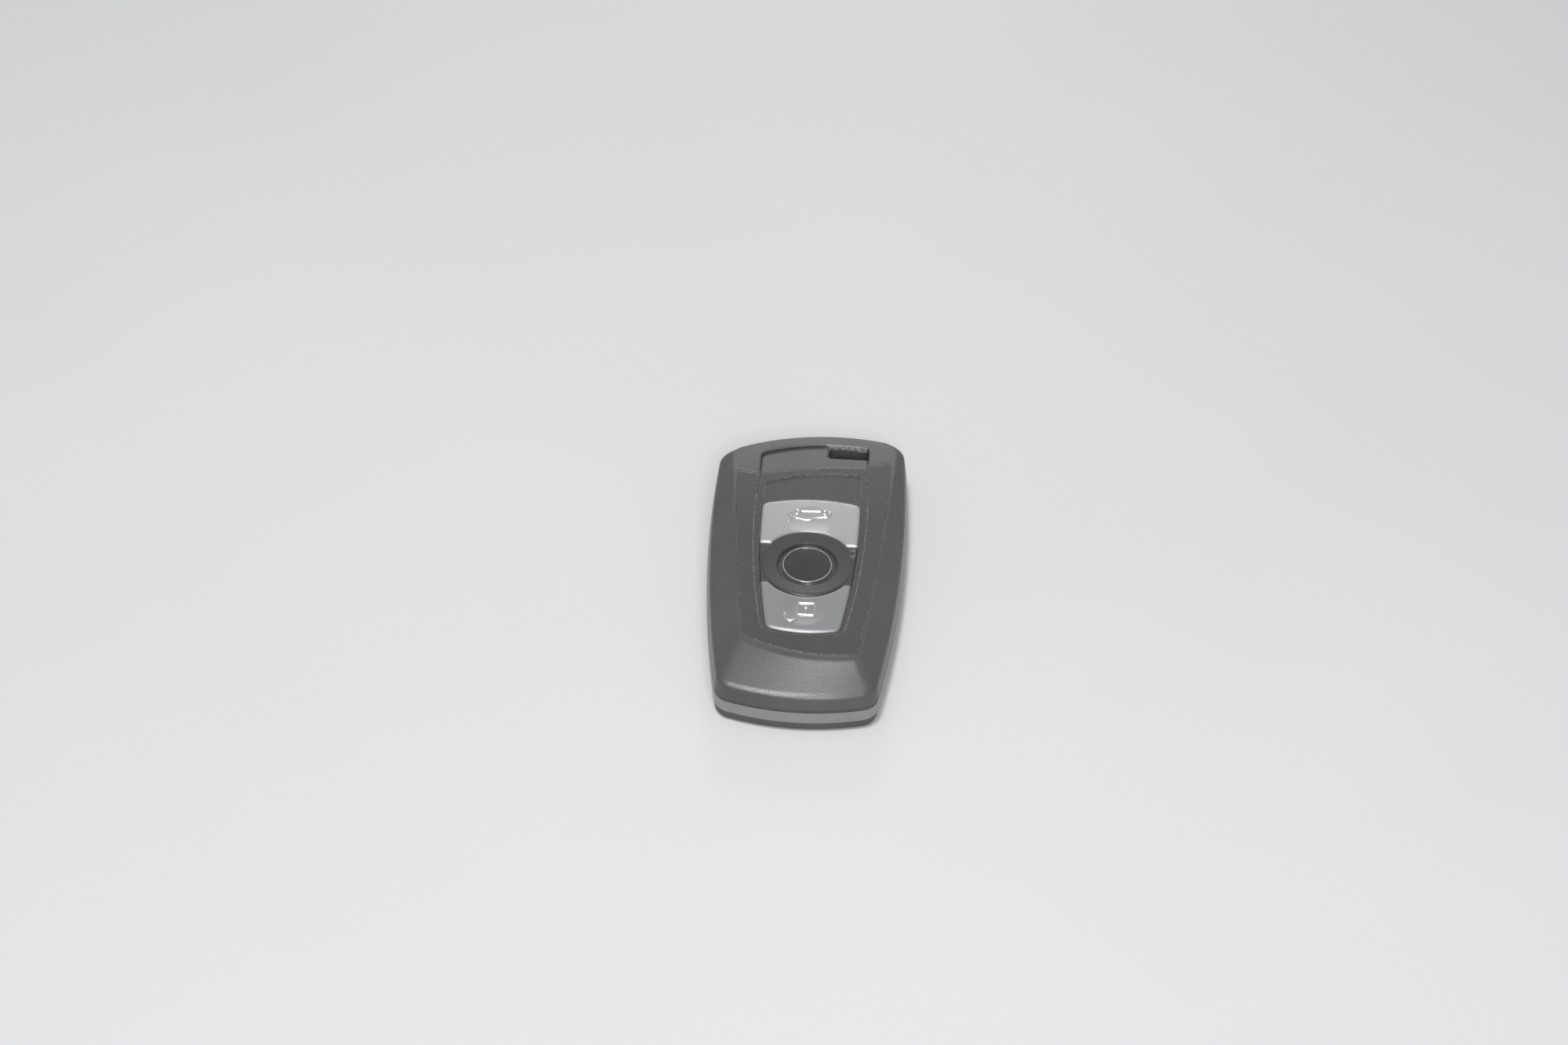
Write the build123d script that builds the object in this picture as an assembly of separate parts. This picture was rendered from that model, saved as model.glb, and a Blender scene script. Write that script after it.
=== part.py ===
from build123d import *
import math
import os

# A smart-key fob: a flat barrel-shaped casing with three buttons on its face,
# an emergency key whose head closes the far end, and a coin cell behind a cover in its back.
# Millimetres. The origin is the middle of the fob on the flat of its back,
# +X is to the right of the button face, +Y points to the key ring, +Z comes out of the button face.

# Casing outline: four large arcs with rounded corners; its middle lies beside the buttons' middle
half_length = 41.4
half_width = 22.2
casing_x = -0.5
widest_y = 15.1
side_radius = 292.0
far_radius = 51.2
far_apex_x = 5.0
near_radius = 54.0
near_apex_x = 0.2
far_corner = 5.5
near_corner = 4.5

# Heights of the casing's layers
thickness = 12.3
crown_radius = 900.0
band_bottom = 2.6
band_top = 5.6
shadow_gap = 0.4
upper_bottom = band_top + shadow_gap
rim_bottom = 8.7
rim_top = 9.1
floor_thickness = 1.6
wall = 1.7

# How far each layer of the outline is drawn in: sides, near end, far end
foot_inset = 0.8
foot_bevel = 0.4
rim_rise = 1.9
rim_inset_side = 0.6
rim_inset_near = 1.5
rim_inset_far = 0.4
rim_bevel_side = 0.35
rim_bevel_near = 0.8
rim_bevel_far = 0.2
top_inset_far = 1.1

# Gloss panel round the buttons
panel_half_width = 17.15
panel_widest_y = 29.6
panel_side_radius = 330.0
panel_near_from_end = 11.75
panel_near_radius = 39.0
panel_near_apex_x = 6.1
panel_corner = 1.6
panel_lip = 0.2
panel_gap = 0.06
panel_underside = 10.6
panel_mid_x = -2.3
panel_mid_from_end = 12.1
panel_left_from_end = 15.15
panel_right_from_end = 11.0
panel_wing_left_rise = 0.18
panel_wing_right_rise = 0.34

# Sunk strip that holds the buttons, and the tongue that goes on from it to the ring slot
strip_sink = 0.55
strip_half_width = 12.7
strip_widest_y = 13.9
strip_side_radius = 190.0
strip_near_from_end = 17.1
strip_near_radius = 36.5
strip_corner = 2.0
strip_slope = 0.4
strip_cut_depth = 2.0

# Button opening in the strip
opening_half_width = 11.2
opening_widest_y = 12.8
opening_side_radius = 205.0
opening_near_from_end = 18.15
opening_near_radius = 29.2
opening_far_from_end = 22.5
opening_far_radius = 37.0
opening_far_apex_x = 0.9
opening_corner = 1.5
button_gap = 0.14
flange_reach = 0.6
flange_bottom = 9.95
flange_top = 10.5
flange_window_gap = 0.3
button_travel = 0.5

# Buttons
disc_y = -2.1
disc_radius = 10.2
wing_far_y = 3.85
wing_near_y = -8.25
silver_sink = 0.25
wing_sink = 0.45
disc_sink = 0.3
disc_dish_depth = 0.5
disc_dish_radius = 100.0
button_bevel = 0.22
dish_depth = 0.25
dish_radius = 48.0
boot_stem_y = 12.0
unlock_stem_y = -17.0
stem_radius = 1.4

# Blank place beyond the boot button
blank_half_width = 10.9
blank_far_apex_x = 6.5
blank_gap = 0.4
blank_far_from_end = 13.15
blank_far_radius = 40.0
blank_depth = 0.35
blank_corner = 1.6

# Round badge on the lock button
badge_radius = 5.5
badge_rim_width = 0.3
badge_rim_round = 0.1
badge_well_radius = 6.6
badge_well_depth = 0.5
badge_dome = 0.3

# Circuit board and switches
board_bottom = 6.2
board_thickness = 1.0
board_clearance = 0.35
board_top = board_bottom + board_thickness
switch_side = 4.5
switch_height = 1.5
plunger_radius = 1.0
plunger_gap = 0.08
plunger_top = 9.2
plunger_floor = 0.15

# Rubber mat under the buttons
mat_bottom = 8.9
mat_thickness = 0.5
mat_border = 1.5
mat_hole_gap = 0.3

# Deck of the upper shell, and the hollow under it
deck_underside = 9.8
hollow_top = 8.4
hollow_inset_near = 2.9
hollow_inset_side = 2.4
deck_hollow_inset = 0.85
end_wall = 1.6
stake_radius = 0.7
stake_gap = 0.05
stake_left_x = -14.6
stake_left_from_end = 19.0
stake_right_x = 14.8
stake_right_from_end = 17.0
stake_near_x = 13.3
stake_near_y = -10.0

# Middle frame
step_inset = 0.8
lip_inset = 1.85
lip_width = 0.7
lip_height = 1.0
rib_width = 1.2
near_rib_x = -11.6

# Emergency key: split line of its head, ring slot and blade
split_gap = 0.16
split_left_from_end = 13.7
split_right_from_end = 9.5
split_peak_x = -17.4
split_peak_from_end = 12.55
split_right_rise = 0.13
bar_width = 3.55
tongue_half_width = 12.3
tongue_far_radius = 40.0
tongue_corner_left = 2.0
tongue_corner_right = 1.2
tongue_underside = 9.75
web_gap = 0.15
slot_left_x = 3.0
slot_near_from_end = 7.92
slot_corner = 0.8
ring_hole_x = 7.65
ring_hole_from_end = 5.4
ring_hole_length = 9.1
ring_hole_width = 5.3
ring_hole_corner = 1.0
blade_x = -11.6
blade_width = 7.6
blade_thickness = 2.2
blade_bottom = 2.7
blade_tip_y = -15.0
blade_tip_chamfer = 1.6
blade_root_from_end = 5.0
blade_clearance = 0.15
blade_exit = 10.0
track_width = 2.3
track_depth = 0.5
track_swing = 1.1
track_pitch = 9.0
track_start_y = 20.0
sheath_wall = 0.9

# Battery bay
cell_x = 4.6
cell_y = -11.0
cell_radius = 10.0
cell_thickness = 3.2
cell_bottom = 1.8
cell_clearance = 0.2
cell_step_height = 2.56
cell_lid_inset = 0.85
bay_wall = 1.0
cover_side = 25.0
cover_corner = 5.0
cover_gap = 0.12
cover_thickness = 1.0
cover_recess = 0.1
cover_boss_radius = 9.5
cover_hole_radius = 10.6
seal_gap = 0.05
notch_width = 5.0
notch_depth = 0.6
contact_thickness = 0.2
contact_width = 3.0
contact_slot = 0.8
contact_reach = 7.0
arm_width = 1.6

# Release latch in the back
latch_x = 7.0
latch_from_end = 20.0
latch_travel = 2.0
latch_length = 8.0
latch_width = 6.0
latch_plate = 0.7
latch_slide_gap = 0.1
thumb_length = 5.0
thumb_width = 4.4
thumb_recess = 0.15
thumb_rib_count = 4
thumb_rib_depth = 0.25
latch_tooth_length = 1.5
latch_tooth_top = 4.4
latch_rail = 0.8
spring_radius = 0.8
spring_wire = 0.25
spring_turns = 6
spring_length = 5.0
spring_post = 1.0
catch_gap = 0.25
catch_length = 4.0
catch_width = 2.4
catch_top = 4.4

# Parts on the circuit board
chip_side = 5.0
chip_height = 0.9
chip_place = (-12.2, -8.0)
crystal_size = (3.2, 2.5, 0.8)
crystal_place = (-12.0, 2.0)
antenna_length = 14.0
antenna_width = 3.6
antenna_height = 2.2
antenna_core = 1.2
winding_inset = 0.3
antenna_flange = 1.2
antenna_gap = 0.45
transponder_size = (12.0, 3.4, 1.1)
transponder_from_near_end = 11.0
capacitor_size = (1.6, 0.8, 0.8)
capacitor_column_x = 12.2
capacitor_first_y = -9.0
capacitor_pitch = 3.2
capacitor_count = 6

# Sizes for cutting tools, larger than the fob
reach = 60.0
above = 20.0
below = -1.0

# Places measured back from the two ends
panel_near_reach = half_length - panel_near_from_end
strip_near_reach = half_length - strip_near_from_end
opening_near_reach = half_length - opening_near_from_end
opening_far_reach = half_length - opening_far_from_end
panel_mid_y = half_length - panel_mid_from_end
panel_left_y = half_length - panel_left_from_end
panel_right_y = half_length - panel_right_from_end
blank_far_y = half_length - blank_far_from_end
split_left_y = half_length - split_left_from_end
split_peak_y = half_length - split_peak_from_end
split_right_y = half_length - split_right_from_end
slot_near_y = half_length - slot_near_from_end
ring_hole_y = half_length - ring_hole_from_end
blade_root_y = half_length - blade_root_from_end
latch_y = half_length - latch_from_end
mat_growth = flange_reach + flange_window_gap + mat_border
antenna_place = (0.0, opening_far_reach + mat_growth + antenna_gap + antenna_width / 2)
transponder_place = (0.0, transponder_from_near_end - half_length)
stake_places = [(stake_left_x, half_length - stake_left_from_end),
                (stake_right_x, half_length - stake_right_from_end),
                (-stake_near_x, stake_near_y),
                (stake_near_x, stake_near_y)]

disc_place = (0.0, disc_y)
boot_place = (0.0, boot_stem_y)
unlock_place = (0.0, unlock_stem_y)
switch_places = {"boot": boot_place, "lock": disc_place, "unlock": unlock_place}


def at(height, face):
    """The face lifted to a height."""
    return Pos(0, 0, height) * face


def slab(face, bottom, top):
    """A flat face given a body from one height to another."""
    return extrude(at(bottom, face), top - bottom)


def box(x, y, bottom, length, width, height):
    """A block on its middle in plan, standing on a height."""
    return Pos(x, y, bottom) * Box(length, width, height, align=(Align.CENTER, Align.CENTER, Align.MIN))


def post(x, y, bottom, radius, height):
    """A round pin standing on a height."""
    return Pos(x, y, bottom) * Cylinder(radius, height, align=(Align.CENTER, Align.CENTER, Align.MIN))


def side_disc(sign, half, centre_y, radius, middle_x):
    """The disc whose edge is one long side of an outline."""
    return Pos(middle_x + sign * (half - radius), centre_y) * Circle(radius)


def end_disc(apex_x, apex_y, radius):
    """A disc, drawn out towards the other end, whose arc ends an outline at its apex."""
    centre_y = apex_y - math.copysign(radius, apex_y)
    tail_y = centre_y - math.copysign(reach / 2, apex_y)
    return Pos(apex_x, centre_y) * Circle(radius) + Pos(apex_x, tail_y) * Rectangle(2 * radius, reach)


def barrel(half, centre_y, radius, middle_x):
    """The space between two long side arcs."""
    return side_disc(-1, half, centre_y, radius, middle_x) & side_disc(1, half, centre_y, radius, middle_x)


def four_sided(sides, far, near, corner_far, corner_near):
    """A face bounded by two side arcs and two end arcs, with rounded corners."""
    face = sides & far & near
    near_pair = face.vertices().sort_by(Axis.Y)[:2]
    face = fillet(near_pair, corner_near)
    far_pair = face.vertices().sort_by(Axis.Y)[-2:]
    return fillet(far_pair, corner_far)


def casing_outline(side, near, far):
    """The casing's outline drawn in by a distance at its sides, near end and far end."""
    return four_sided(barrel(half_width - side, widest_y, side_radius - side, casing_x),
                      end_disc(far_apex_x, half_length - far, far_radius - far),
                      end_disc(near_apex_x, near - half_length, near_radius - near),
                      far_corner - far, near_corner - side)


def top_outline():
    """Outline of the casing's flat top, just outside the gloss panel."""
    return four_sided(barrel(panel_half_width + panel_lip, panel_widest_y, panel_side_radius, 0),
                      end_disc(far_apex_x, half_length - top_inset_far, far_radius - top_inset_far),
                      end_disc(panel_near_apex_x, -panel_near_reach - panel_lip, panel_near_radius),
                      far_corner - top_inset_far, panel_corner + panel_lip)


def tilted(near_height, face):
    """A face lifted to a height at the near end and higher, by the rim's rise, at the far end."""
    angle = math.degrees(math.atan(rim_rise / (2 * half_length)))
    return Pos(0, 0, near_height + rim_rise / 2) * Rot(angle, 0, 0) * face


def crown(sink=0.0):
    """The space under the gently arched top of the fob, or under a level sunk below it."""
    drum = Rot(0, 90, 0) * Cylinder(crown_radius, 2 * reach)
    return Pos(0, 0, thickness - sink - crown_radius) * drum


def casing_form():
    """The whole outer shape of the fob, solid."""
    rim = casing_outline(rim_inset_side, rim_inset_near, rim_inset_far)
    rim_edge = casing_outline(rim_inset_side + rim_bevel_side, rim_inset_near + rim_bevel_near,
                              rim_inset_far + rim_bevel_far)
    sections = [at(0, casing_outline(foot_inset, foot_inset, foot_inset)),
                at(foot_bevel, casing_outline(foot_inset - foot_bevel, foot_inset - foot_bevel,
                                              foot_inset - foot_bevel)),
                at(band_bottom, casing_outline(0, 0, 0)),
                at(upper_bottom, casing_outline(0, 0, 0)),
                tilted(rim_bottom, rim),
                tilted(rim_top, rim_edge),
                at(thickness, top_outline())]
    return loft(sections, ruled=True) & crown()


def region_below(points):
    """Everything on the near side of a line that runs from left to right."""
    line = [(-reach, -reach)] + points + [(reach, -reach)]
    return make_face(Polyline(*line, close=True))


def split_points(shift):
    """The line between casing and key head, moved along the fob by a distance."""
    beyond = reach - tongue_half_width
    return [(-reach, split_peak_y + shift),
            (split_peak_x, split_peak_y + shift),
            (-tongue_half_width, split_left_y + shift),
            (tongue_half_width, split_right_y + shift),
            (reach, split_right_y + split_right_rise * beyond + shift)]


def short_of(y):
    """Everything on the near side of a distance along the fob."""
    return region_below([(-reach, y), (reach, y)])


def casing_side():
    """Plan of everything that belongs to the casing rather than to the key head."""
    return region_below(split_points(-split_gap / 2))


def inside_casing():
    """Plan of the casing's inside, short of its end wall."""
    return region_below(split_points(-end_wall))


def tongue_face(growth):
    """Plan of the tongue between the key head's arms, grown outwards by a clearance."""
    strip = Pos(0, half_length / 2) * Rectangle(2 * (tongue_half_width + growth), half_length)
    face = strip & end_disc(far_apex_x, half_length - bar_width + growth, tongue_far_radius + growth)
    far_pair = face.vertices().sort_by(Axis.Y)[-2:].sort_by(Axis.X)
    face = fillet(far_pair[0], tongue_corner_left)
    right = face.vertices().sort_by(Axis.X)[-2:].sort_by(Axis.Y)[-1]
    return fillet(right, tongue_corner_right)


def slot_mouth():
    """Plan of the cut in the tongue's corner that the key ring passes through."""
    length = tongue_half_width - slot_left_x + end_wall
    depth = half_length - slot_near_y
    face = Pos(slot_left_x + length / 2, slot_near_y + depth / 2) * Rectangle(length, depth)
    return fillet(face.vertices().sort_by(Axis.Y)[:2].sort_by(Axis.X)[0], slot_corner)


def panel_face(gap):
    """Plan of the gloss panel, smaller by a gap all round."""
    sides = four_sided(barrel(panel_half_width - gap, panel_widest_y, panel_side_radius, 0),
                       end_disc(far_apex_x, half_length, far_radius),
                       end_disc(panel_near_apex_x, gap - panel_near_reach, panel_near_radius - gap),
                       panel_corner, panel_corner)
    beyond = reach - strip_half_width
    left = (-strip_half_width, panel_left_y - gap)
    right = (strip_half_width, panel_right_y - gap)
    middle = (panel_mid_x, panel_mid_y - gap)
    left_end = (-reach, left[1] + panel_wing_left_rise * beyond)
    right_end = (reach, right[1] + panel_wing_right_rise * beyond)
    border = Polyline(left, left_end, (-reach, -reach), (reach, -reach), right_end, right)
    far_line = ThreePointArc(left, middle, right)
    return sides & make_face([border, far_line])


def strip_face(far_y):
    """Plan of the sunk strip, up to a distance along the fob."""
    sides = barrel(strip_half_width, strip_widest_y, strip_side_radius, 0)
    sides &= end_disc(near_apex_x, -strip_near_reach, strip_near_radius)
    sides &= short_of(far_y)
    return fillet(sides.vertices().sort_by(Axis.Y)[:2], strip_corner)


def opening_face(growth):
    """Plan of the button opening, grown outwards by a distance."""
    return four_sided(barrel(opening_half_width + growth, opening_widest_y, opening_side_radius, 0),
                      end_disc(opening_far_apex_x, opening_far_reach + growth, opening_far_radius + growth),
                      end_disc(near_apex_x, -opening_near_reach - growth, opening_near_radius + growth),
                      opening_corner, opening_corner)


def lock_disc(growth):
    """The round middle of the lock button."""
    return Pos(0, disc_y) * Circle(disc_radius + growth)


def lock_face(field):
    """Plan of the lock button: a disc with a wing on each side, inside a field."""
    wings = short_of(wing_far_y - button_gap / 2) - short_of(wing_near_y + button_gap / 2)
    return (lock_disc(-button_gap / 2) & field) + (wings & field)


def boot_face(field):
    """Plan of the boot button: beyond the lock button, inside a field."""
    return (field - short_of(wing_far_y + button_gap / 2)) - lock_disc(button_gap / 2)


def unlock_face(field):
    """Plan of the unlock button: short of the lock button, inside a field."""
    return (field & short_of(wing_near_y - button_gap / 2)) - lock_disc(button_gap / 2)


def blank_face():
    """Plan of the blank place beyond the boot button."""
    face = Pos(0, half_length / 2) * Rectangle(2 * blank_half_width, half_length)
    face &= end_disc(blank_far_apex_x, blank_far_y, blank_far_radius)
    face -= end_disc(opening_far_apex_x, opening_far_reach + blank_gap, opening_far_radius + blank_gap)
    return fillet(face.vertices(), blank_corner)


def flank_hollow(bottom, top):
    """Hollow of the shells between two heights, inside the wall."""
    plan = casing_outline(hollow_inset_side, hollow_inset_near, hollow_inset_side) & inside_casing()
    return slab(plan, bottom, top)


def deck_hollow():
    """Hollow of the upper shell straight under its deck."""
    plan = panel_face(deck_hollow_inset) & inside_casing()
    return slab(plan, hollow_top, deck_underside)


def upper_shell(form):
    """Front half of the casing, with its deck, button window and tongue."""
    shell = form & slab(casing_side(), upper_bottom, above)
    tongue = form & slab(tongue_face(-split_gap), tongue_underside, above)
    shell = shell + tongue
    shell -= slab(tongue_face(-split_gap) - panel_face(0), tongue_underside, above) - crown(strip_sink)
    shell -= slab(slot_mouth(), tongue_underside - web_gap, above)
    lip_room = upper_bottom + lip_height + split_gap
    shell -= slab(casing_outline(wall, wall, wall) & inside_casing(), 0, lip_room)
    shell -= flank_hollow(upper_bottom, hollow_top)
    shell -= deck_hollow()
    shell -= slab(panel_face(0), panel_underside, above)
    shell -= slab(opening_face(flange_reach + flange_window_gap), deck_underside - web_gap, above)
    for x, y in stake_places:
        shell -= post(x, y, deck_underside - web_gap, stake_radius + stake_gap, reach)
    return shell


def gloss_panel():
    """Gloss panel with its raised border, sunk strip, button opening and stakes."""
    panel = slab(panel_face(panel_gap), panel_underside, above) & crown()
    strip = strip_face(half_length)
    slope_angle = math.degrees(math.atan(strip_slope))
    pocket = extrude(at(thickness, strip), -strip_cut_depth, taper=slope_angle)
    pocket += slab(strip, thickness - strip_sink / 2, above)
    panel -= pocket - crown(strip_sink)
    panel -= slab(blank_face(), panel_underside, above) - crown(strip_sink + blank_depth)
    panel -= slab(opening_face(0), 0, above)
    for x, y in stake_places:
        panel += post(x, y, deck_underside, stake_radius, panel_underside - deck_underside)
    return panel


def bevelled(cap):
    """A button cap with its top edge rounded over."""
    top_face = cap.faces().sort_by(Axis.Z)[-1]
    return chamfer(top_face.edges(), button_bevel)


def foot_and_stem(flange, place):
    """A button's flange under the panel and its stem down to the switch."""
    foot = slab(flange, flange_bottom, flange_top)
    return foot + post(place[0], place[1], plunger_top, stem_radius, flange_bottom - plunger_top)


def silver_button(make_face_of, place):
    """A silver button, dished round its symbol."""
    cap = bevelled(slab(make_face_of(opening_face(-button_gap)), flange_top, above) & crown(silver_sink))
    cap += foot_and_stem(make_face_of(opening_face(flange_reach)), place)
    top = thickness - silver_sink - place[1] ** 2 / (2 * crown_radius)
    return cap - Pos(place[0], place[1], top - dish_depth + dish_radius) * Sphere(dish_radius)


def lock_button():
    """The black lock button: wings, raised disc and the round well of its badge."""
    field = opening_face(-button_gap)
    wings = slab(lock_face(field), flange_top, above) & crown(wing_sink)
    disc = bevelled(slab(lock_disc(-button_gap / 2) & field, flange_top, above) & crown(disc_sink))
    base = foot_and_stem(lock_face(opening_face(flange_reach)), disc_place)
    well = post(0, disc_y, badge_floor(), badge_well_radius, above)
    dish = Pos(0, disc_y, dish_bottom() + disc_dish_radius) * Sphere(disc_dish_radius)
    return wings + disc + base - dish - well


def dish_bottom():
    """Height of the lowest point of the lock button's dish."""
    return thickness - disc_sink - disc_dish_depth


def badge_floor():
    """Height of the floor under the badge."""
    return dish_bottom() - badge_well_depth


def badge_disc():
    """Plain domed disc in the middle of the lock button."""
    radius = badge_radius - badge_rim_width
    dome_radius = (radius ** 2 + badge_dome ** 2) / (2 * badge_dome)
    dome = Pos(0, disc_y, dish_bottom() + badge_dome - dome_radius) * Sphere(dome_radius)
    return post(0, disc_y, badge_floor(), radius, above - badge_floor()) & dome


def badge_rim():
    """Thin bright ring round the badge."""
    height = dish_bottom() + badge_dome / 2 - badge_floor()
    ring = post(0, disc_y, badge_floor(), badge_radius, height)
    ring = fillet(ring.edges().sort_by(Axis.Z)[-1], badge_rim_round)
    return ring - post(0, disc_y, 0, badge_radius - badge_rim_width, above)


def keypad_mat():
    """Rubber mat that seals the buttons' stems and bears on the deck."""
    window = opening_face(flange_reach + flange_window_gap)
    mat = slab(opening_face(mat_growth), mat_bottom, deck_underside)
    mat -= slab(window, mat_bottom + mat_thickness, deck_underside)
    for x, y in switch_places.values():
        mat -= post(x, y, 0, stem_radius + mat_hole_gap, above)
    return mat


def switch_body(place):
    """Body of a push switch, with the bore of its plunger."""
    x, y = place
    body = box(x, y, board_top, switch_side, switch_side, switch_height)
    return body - post(x, y, board_top + plunger_floor, plunger_radius + plunger_gap, switch_height)


def switch_plunger(place):
    """Plunger of a push switch, with room under it for its travel."""
    bottom = board_top + plunger_floor + button_travel + plunger_gap
    return post(place[0], place[1], bottom, plunger_radius, plunger_top - bottom)


def blade_space(margin):
    """The room that the blade takes inside the casing, with a margin round it."""
    length = split_left_y - blade_tip_y + margin + blade_exit
    middle = blade_tip_y - margin + length / 2
    return box(blade_x, middle, blade_bottom - margin, blade_width + 2 * margin, length,
               blade_thickness + 2 * margin)


def middle_frame(form):
    """Frame between the shells: the light band outside, lip, blade sheath and battery bay inside."""
    inner = lip_inset + lip_width
    plan = casing_side()
    hollow = casing_outline(inner, inner, inner) & inside_casing()
    frame = form & slab(plan, band_bottom, band_top)
    frame += slab(casing_outline(step_inset, step_inset, step_inset) & plan, band_top, upper_bottom)
    frame += slab(casing_outline(lip_inset, lip_inset, lip_inset) & inside_casing(), upper_bottom,
                  upper_bottom + lip_height)
    frame -= slab(hollow, 0, above)
    depth = board_bottom - floor_thickness
    sheath_end = blade_tip_y - sheath_wall
    fittings = box(blade_x, sheath_end + half_length, floor_thickness,
                   blade_width + 2 * (blade_clearance + sheath_wall), 2 * half_length, depth)
    fittings += box(0, cell_y, floor_thickness, 2 * half_width, rib_width, depth)
    for x in (near_rib_x, cell_x):
        fittings += box(x, cell_y - half_length / 2, floor_thickness, rib_width, half_length, depth)
    fittings += post(cell_x, cell_y, floor_thickness, cell_radius + cell_clearance + bay_wall, depth)
    frame += fittings & slab(hollow, 0, above)
    frame -= post(cell_x, cell_y, 0, cell_radius + cell_clearance, above)
    frame -= blade_space(blade_clearance)
    contact_x = cell_x + cell_radius
    frame -= box(contact_x, cell_y, 0, contact_slot, contact_width + 2 * cell_clearance, board_bottom)
    return frame - finger_space()


def lower_shell(form):
    """Back half of the casing, with the cover's recess and the latch's window."""
    shell = form & slab(casing_side(), 0, band_bottom)
    shell -= slab(casing_outline(wall, wall, wall) & inside_casing(), floor_thickness, above)
    shell -= blade_space(blade_clearance)
    shell -= finger_space()
    recess = Pos(cell_x, cell_y) * RectangleRounded(cover_side, cover_side, cover_corner)
    shell -= slab(recess, 0, cover_thickness + cover_recess)
    shell -= post(cell_x, cell_y, 0, cover_hole_radius, above)
    shell -= box(cell_x, cell_y - cover_side / 2, 0, notch_width, 2 * notch_depth, cover_thickness)
    window_length = thumb_length + latch_travel + 2 * latch_slide_gap
    window_x = latch_x + latch_travel / 2
    shell -= box(window_x, latch_y, 0, window_length, thumb_width + 2 * latch_slide_gap, floor_thickness)
    for side in (-1, 1):
        rail_y = latch_y + side * (latch_width / 2 + latch_slide_gap + latch_rail / 2)
        shell += box(window_x, rail_y, floor_thickness, latch_length + latch_travel, latch_rail, latch_plate)
    post_x = latch_x + latch_length / 2 + spring_length + spring_post / 2
    post_height = 2 * spring_radius + latch_slide_gap
    shell += box(post_x, latch_y, floor_thickness, spring_post, latch_width, post_height)
    return shell


def release_latch():
    """Sliding catch in the back: plate, ribbed thumb piece and tooth."""
    latch = box(latch_x, latch_y, floor_thickness, latch_length, latch_width, latch_plate)
    thumb_height = floor_thickness - thumb_recess
    latch += box(latch_x, latch_y, thumb_recess, thumb_length, thumb_width, thumb_height)
    pitch = thumb_length / (thumb_rib_count + 1)
    for index in range(thumb_rib_count):
        x = latch_x - thumb_length / 2 + pitch * (index + 1)
        latch -= box(x, latch_y, thumb_recess, pitch / 2, thumb_width, thumb_rib_depth)
    tooth_x = latch_x - latch_length / 2 + latch_tooth_length / 2
    latch += box(tooth_x, latch_y, floor_thickness, latch_tooth_length, latch_width / 2,
                 latch_tooth_top - floor_thickness)
    return latch


def latch_spring():
    """Coil spring that pushes the latch back; one unbroken tube along X."""
    coil_radius = spring_radius - spring_wire / 2
    path = Helix(pitch=spring_length / spring_turns, height=spring_length - spring_wire, radius=coil_radius)
    start = Plane(origin=path @ 0, z_dir=path % 0)
    coil = sweep(start * Circle(spring_wire / 2), path=path, is_frenet=True)
    end_x = latch_x + latch_length / 2 + spring_wire / 2
    return Pos(end_x, latch_y, floor_thickness + spring_radius + latch_slide_gap / 2) * Rot(0, 90, 0) * coil


def key_bow(form):
    """Head of the emergency key: the far end of the fob, open round the tongue, with the ring hole."""
    bow = form - slab(region_below(split_points(split_gap / 2)), below, above)
    bow -= slab(tongue_face(0), tongue_underside - web_gap, above)
    hole = RectangleRounded(ring_hole_length, ring_hole_width, ring_hole_corner)
    bow -= slab(Pos(ring_hole_x, ring_hole_y) * hole, below, tongue_underside)
    bow -= blade_blank()
    return bow + catch_finger()


def catch_block(margin):
    """The finger's block, with a margin round it."""
    catch_x = latch_x - latch_length / 2 - catch_gap - catch_width / 2
    start_y = latch_y - catch_length / 2 - margin
    end_y = split_right_y + end_wall
    bottom = floor_thickness + latch_plate + latch_slide_gap - margin
    return box(catch_x, (start_y + end_y) / 2, bottom, catch_width + 2 * margin, end_y - start_y,
               catch_top + margin - bottom)


def catch_finger():
    """Finger on the key head that the latch faces."""
    return catch_block(0)


def finger_space():
    """The room that the finger slides in."""
    return catch_block(catch_gap)


def blade_blank():
    """The blade before its track is milled."""
    length = blade_root_y - blade_tip_y
    blank = box(blade_x, blade_tip_y + length / 2, blade_bottom, blade_width, length, blade_thickness)
    tip = blank.edges().filter_by(Axis.Z).sort_by(Axis.Y)[:2]
    return chamfer(tip, blade_tip_chamfer)


def track_face():
    """Plan of the wavy track along the blade."""
    count = round((track_start_y - blade_tip_y) / (track_pitch / 4))
    step = (track_start_y + track_width - blade_tip_y) / count
    line = [(blade_x + track_swing * math.sin(math.pi / 2 * index), blade_tip_y - track_width + step * index)
            for index in range(count + 1)]
    left = Spline(*[(x - track_width / 2, y) for x, y in line])
    right = Spline(*[(x + track_width / 2, y) for x, y in line])
    return make_face([left, right, Line(left @ 0, right @ 0), Line(left @ 1, right @ 1)])


def key_blade():
    """Steel blade of the emergency key, with a milled track in both faces."""
    blade = blade_blank()
    blade -= slab(track_face(), below, blade_bottom + track_depth)
    top = blade_bottom + blade_thickness
    return blade - slab(track_face(), top - track_depth, above)


def circuit_board():
    """Circuit board, clear of the lip and of the end wall."""
    side = lip_inset + lip_width + board_clearance
    near = hollow_inset_near + board_clearance
    plan = casing_outline(side, near, side) & region_below(split_points(-end_wall - board_clearance))
    return slab(plan, board_bottom, board_top)


def on_board(place, size):
    """A rectangular part on the circuit board."""
    return box(place[0], place[1], board_top, size[0], size[1], size[2])


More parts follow.
